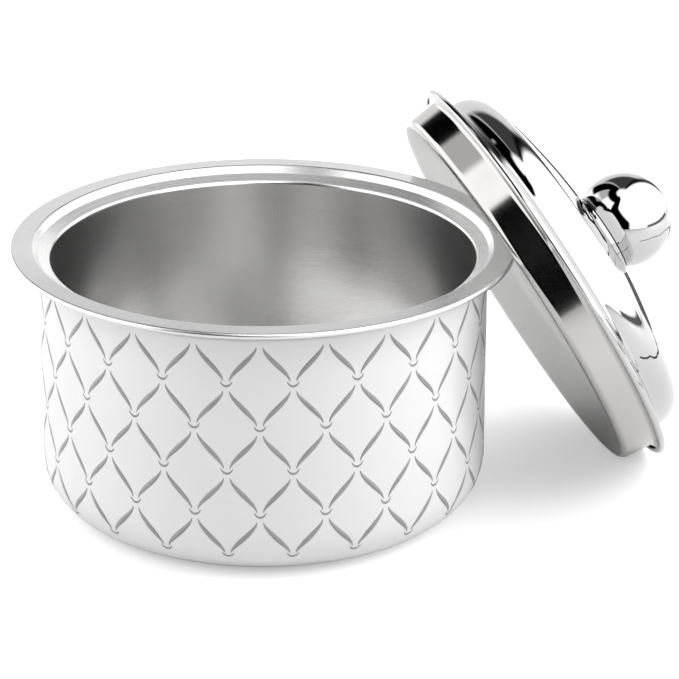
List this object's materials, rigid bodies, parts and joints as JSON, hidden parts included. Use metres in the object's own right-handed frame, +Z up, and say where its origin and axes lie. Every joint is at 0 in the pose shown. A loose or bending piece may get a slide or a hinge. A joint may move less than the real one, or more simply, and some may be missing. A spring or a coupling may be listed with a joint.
{
  "type": "insulated serving casserole",
  "caption": "Round double-walled insulated casserole with a white patterned body, a wide steel rim flange and a loose domed steel lid with a ball knob, leaning on the pot.",
  "frame": {"origin": "centre of the pot's base, on the table", "axes": "+Z up along the pot's axis; +X towards the lid that leans on the pot's rim, with the middle of the lid 10.6 mm to the +Y side"},
  "size_m": [0.2948, 0.214, 0.166],
  "materials": {
    "white_enamel_paint": "gloss white paint with a grey printed trellis",
    "polished_steel": "satin to polished stainless steel",
    "mirror_steel": "mirror polished stainless steel",
    "zinc_steel": "plain zinc plated steel",
    "silicone_seal": "matt sealing rubber",
    "moulded_base": "moulded plastic, fine matt",
    "insulation_foam": "rigid insulation foam"
  },
  "bodies": {
    "pot": {"outer_shell": "white_enamel_paint", "inner_bowl": "polished_steel", "rim_seal": "silicone_seal", "body_foam": "insulation_foam", "base_cover": "moulded_base", "base_fill_plug": "moulded_base"},
    "lid": {"lid_dome": "mirror_steel", "lid_tray": "mirror_steel", "lid_foam": "insulation_foam", "knob_gasket": "silicone_seal", "knob_collar": "mirror_steel", "knob_ball": "mirror_steel", "knob_boss_disc": "polished_steel", "knob_boss": "zinc_steel", "knob_stud": "zinc_steel", "knob_stiffener": "zinc_steel", "knob_washer": "zinc_steel", "knob_spring_washer": "zinc_steel", "knob_nut": "zinc_steel"}
  },
  "joints": [
    {"name": "lid_lift", "type": "slide", "parent": "pot", "child": "lid", "axis": [0, 0, 1], "range_m": [0, 0.18]}
  ]
}
